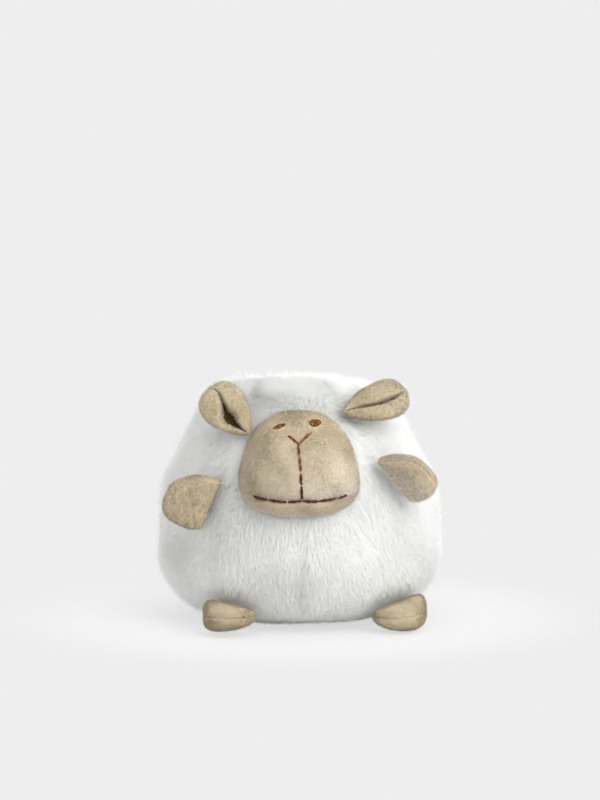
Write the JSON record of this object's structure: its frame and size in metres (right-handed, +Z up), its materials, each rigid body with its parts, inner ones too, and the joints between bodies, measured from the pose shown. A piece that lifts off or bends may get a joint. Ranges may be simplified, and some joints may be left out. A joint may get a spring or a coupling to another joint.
{
  "type": "plush sheep",
  "caption": "Seated plush sheep: a squarish white fur ball on a flat base, with a beige short-pile face, folded ears, stub arms and feet, and a small tail.",
  "frame": {"origin": "centre of the flat base, on the surface it rests on", "axes": "+Z up; -Y the way the face looks; +X to the right in the picture"},
  "size_m": [0.1791, 0.2124, 0.1579],
  "materials": {
    "fur": "long white pile",
    "base": "short white pile",
    "plush": "short beige pile",
    "chin": "short beige pile",
    "filling": "loose fibre",
    "pellets": "pellets in a bag",
    "eyes": "satin embroidery thread",
    "thread": "embroidery thread"
  },
  "bodies": {
    "body": {"front_left_fur_panel": "fur", "front_right_fur_panel": "fur", "back_left_fur_panel": "fur", "back_right_fur_panel": "fur", "crown_fur_panel": "fur", "base_panel": "base", "body_filling": "filling", "pellet_bag": "pellets", "face_panel": "plush", "chin_panel": "chin", "face_filling": "filling", "eye_left": "eyes", "eye_right": "eyes", "nose_stitch": "thread", "muzzle_stitch": "thread", "mouth_stitch": "thread"},
    "ear_left": {"ear_left_lining": "plush", "ear_left_fur_back": "fur"},
    "ear_right": {"ear_right_lining": "plush", "ear_right_fur_back": "fur"},
    "arm_left": {"arm_left_front_panel": "plush", "arm_left_back_panel": "plush", "arm_left_filling": "filling"},
    "arm_right": {"arm_right_front_panel": "plush", "arm_right_back_panel": "plush", "arm_right_filling": "filling"},
    "foot_left": {"foot_left_upper_panel": "plush", "foot_left_sole_panel": "plush", "foot_left_filling": "filling"},
    "foot_right": {"foot_right_upper_panel": "plush", "foot_right_sole_panel": "plush", "foot_right_filling": "filling"},
    "tail": {"tail_outer_panel": "fur", "tail_under_panel": "fur"}
  },
  "joints": [
    {"name": "ear_left_hinge", "type": "hinge", "parent": "body", "child": "ear_left", "pos_m": [-0.03339, -0.0649, 0.12471], "axis": [0.7363, 0.1376, 0.6626], "range_deg": [-28, 40], "stiffness_Nm_per_rad": 0.006},
    {"name": "ear_right_hinge", "type": "hinge", "parent": "body", "child": "ear_right", "pos_m": [0.02922, -0.05679, 0.13564], "axis": [0.2828, -0.661, -0.695], "range_deg": [-22, 45], "stiffness_Nm_per_rad": 0.006},
    {"name": "arm_left_hinge", "type": "hinge", "parent": "body", "child": "arm_left", "pos_m": [-0.05611, -0.06817, 0.07927], "axis": [0.3702, -0.1605, 0.915], "range_deg": [-12, 50], "stiffness_Nm_per_rad": 0.008},
    {"name": "arm_right_hinge", "type": "hinge", "parent": "body", "child": "arm_right", "pos_m": [0.06255, -0.06004, 0.0915], "axis": [0.5565, 0.3319, -0.7617], "range_deg": [-50, 30], "stiffness_Nm_per_rad": 0.008},
    {"name": "foot_left_hinge", "type": "hinge", "parent": "body", "child": "foot_left", "pos_m": [-0.04332, -0.06249, 0.01092], "axis": [0.8364, -0.5482, 0], "range_deg": [-11, 20], "stiffness_Nm_per_rad": 0.01},
    {"name": "foot_right_hinge", "type": "hinge", "parent": "body", "child": "foot_right", "pos_m": [0.06144, -0.0467, 0.01134], "axis": [0.6839, 0.7263, 0.0697], "range_deg": [-11, 20], "stiffness_Nm_per_rad": 0.01},
    {"name": "tail_hinge", "type": "hinge", "parent": "body", "child": "tail", "pos_m": [0, 0.0869, 0.06202], "axis": [1, 0, 0], "range_deg": [-16, 45], "stiffness_Nm_per_rad": 0.006}
  ]
}
